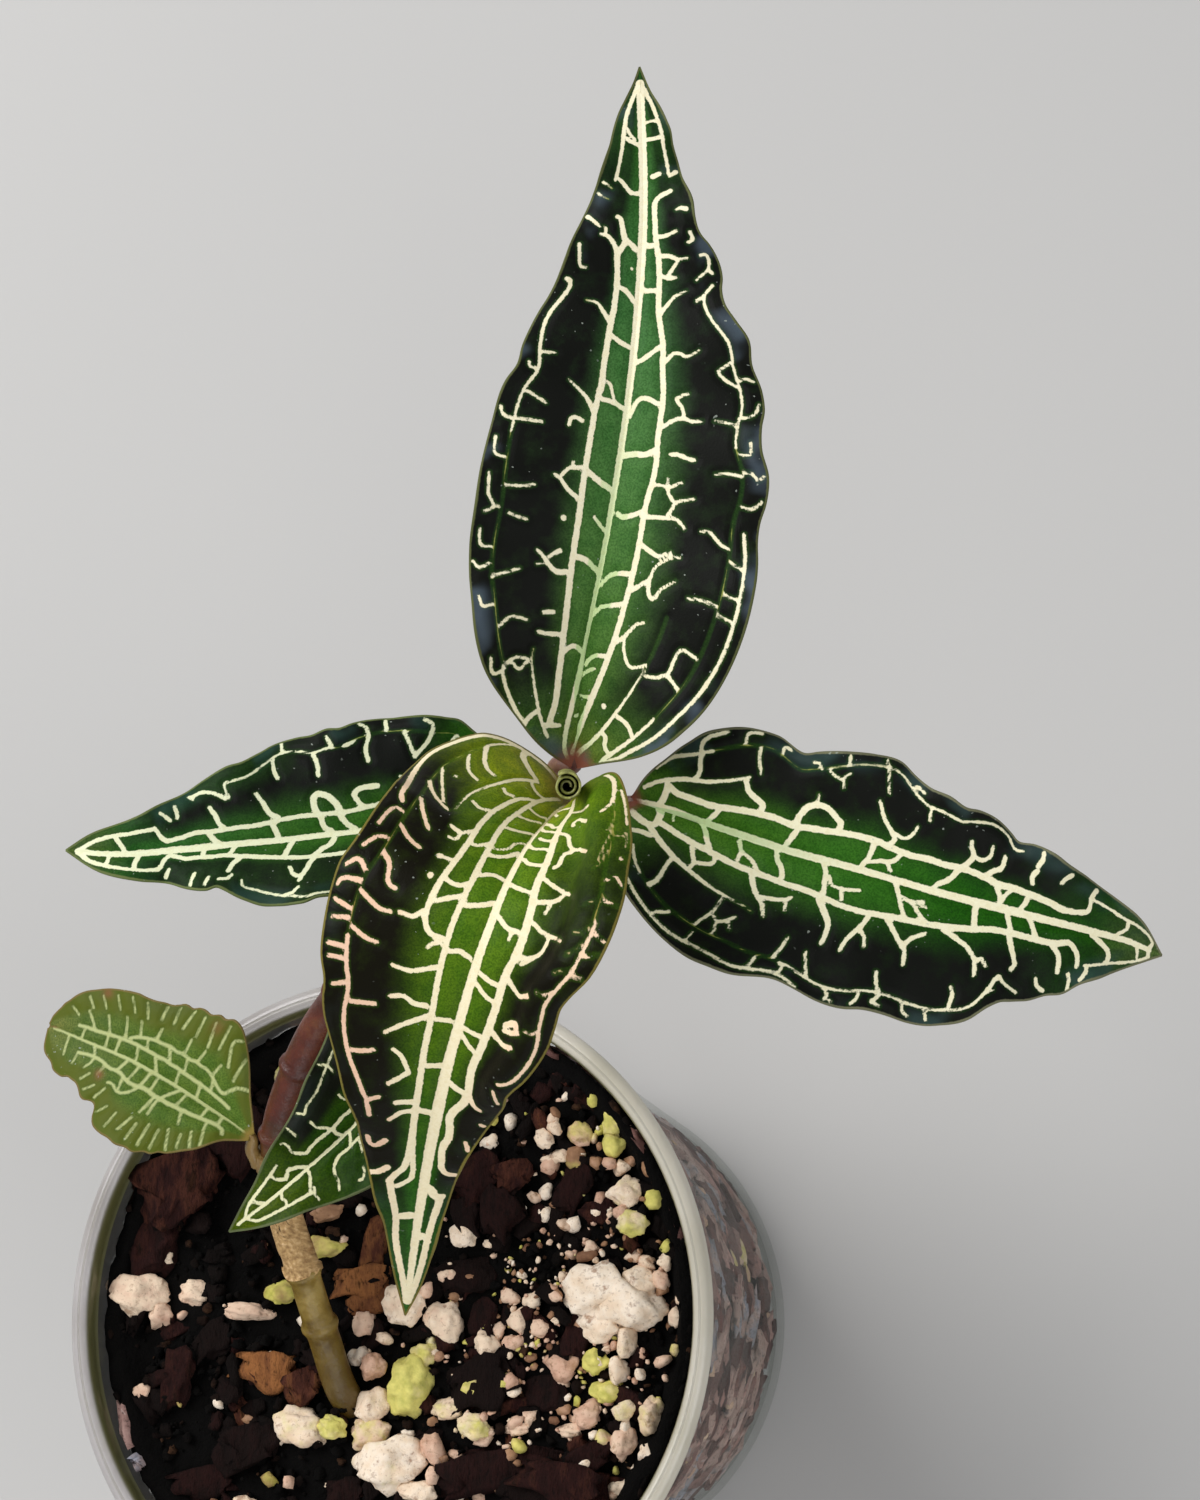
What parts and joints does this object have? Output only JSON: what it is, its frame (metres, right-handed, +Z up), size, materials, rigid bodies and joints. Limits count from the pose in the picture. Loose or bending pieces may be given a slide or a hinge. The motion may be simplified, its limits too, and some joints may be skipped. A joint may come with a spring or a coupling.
{
  "type": "potted jewel orchid",
  "caption": "Jewel orchid with dark velvety net-veined leaves on one leaning stem, growing in a clear round plastic nursery pot of bark and pumice.",
  "frame": {"origin": "centre of the pot's flat underside, on the surface it stands on", "axes": "+Z up along the pot's axis; +Y the way the longest, topmost leaf points; +X to the right of it, where the right-hand leaf points"},
  "size_m": [0.1466, 0.1692, 0.1743],
  "materials": {
    "pot_plastic": "translucent grey-white, rounded rim",
    "potting_mix": "loose dark bark with cream and mossy pumice stones",
    "stem_skin": "smooth, olive to reddish brown",
    "leaf_dark": "velvety, near black with cream veins and a green middle",
    "leaf_young": "velvety, olive green with cream to salmon veins",
    "leaf_pale": "satin, mid green with pale net veins",
    "leaf_bud": "satin olive, rolled"
  },
  "bodies": {
    "root": {"pot": "pot_plastic", "substrate": "potting_mix", "stem": "stem_skin", "leaf_top": "leaf_dark", "leaf_right": "leaf_dark", "leaf_left": "leaf_dark", "leaf_front": "leaf_young", "leaf_lower": "leaf_dark", "leaf_old": "leaf_pale", "leaf_new_rolled": "leaf_bud"}
  },
  "joints": []
}
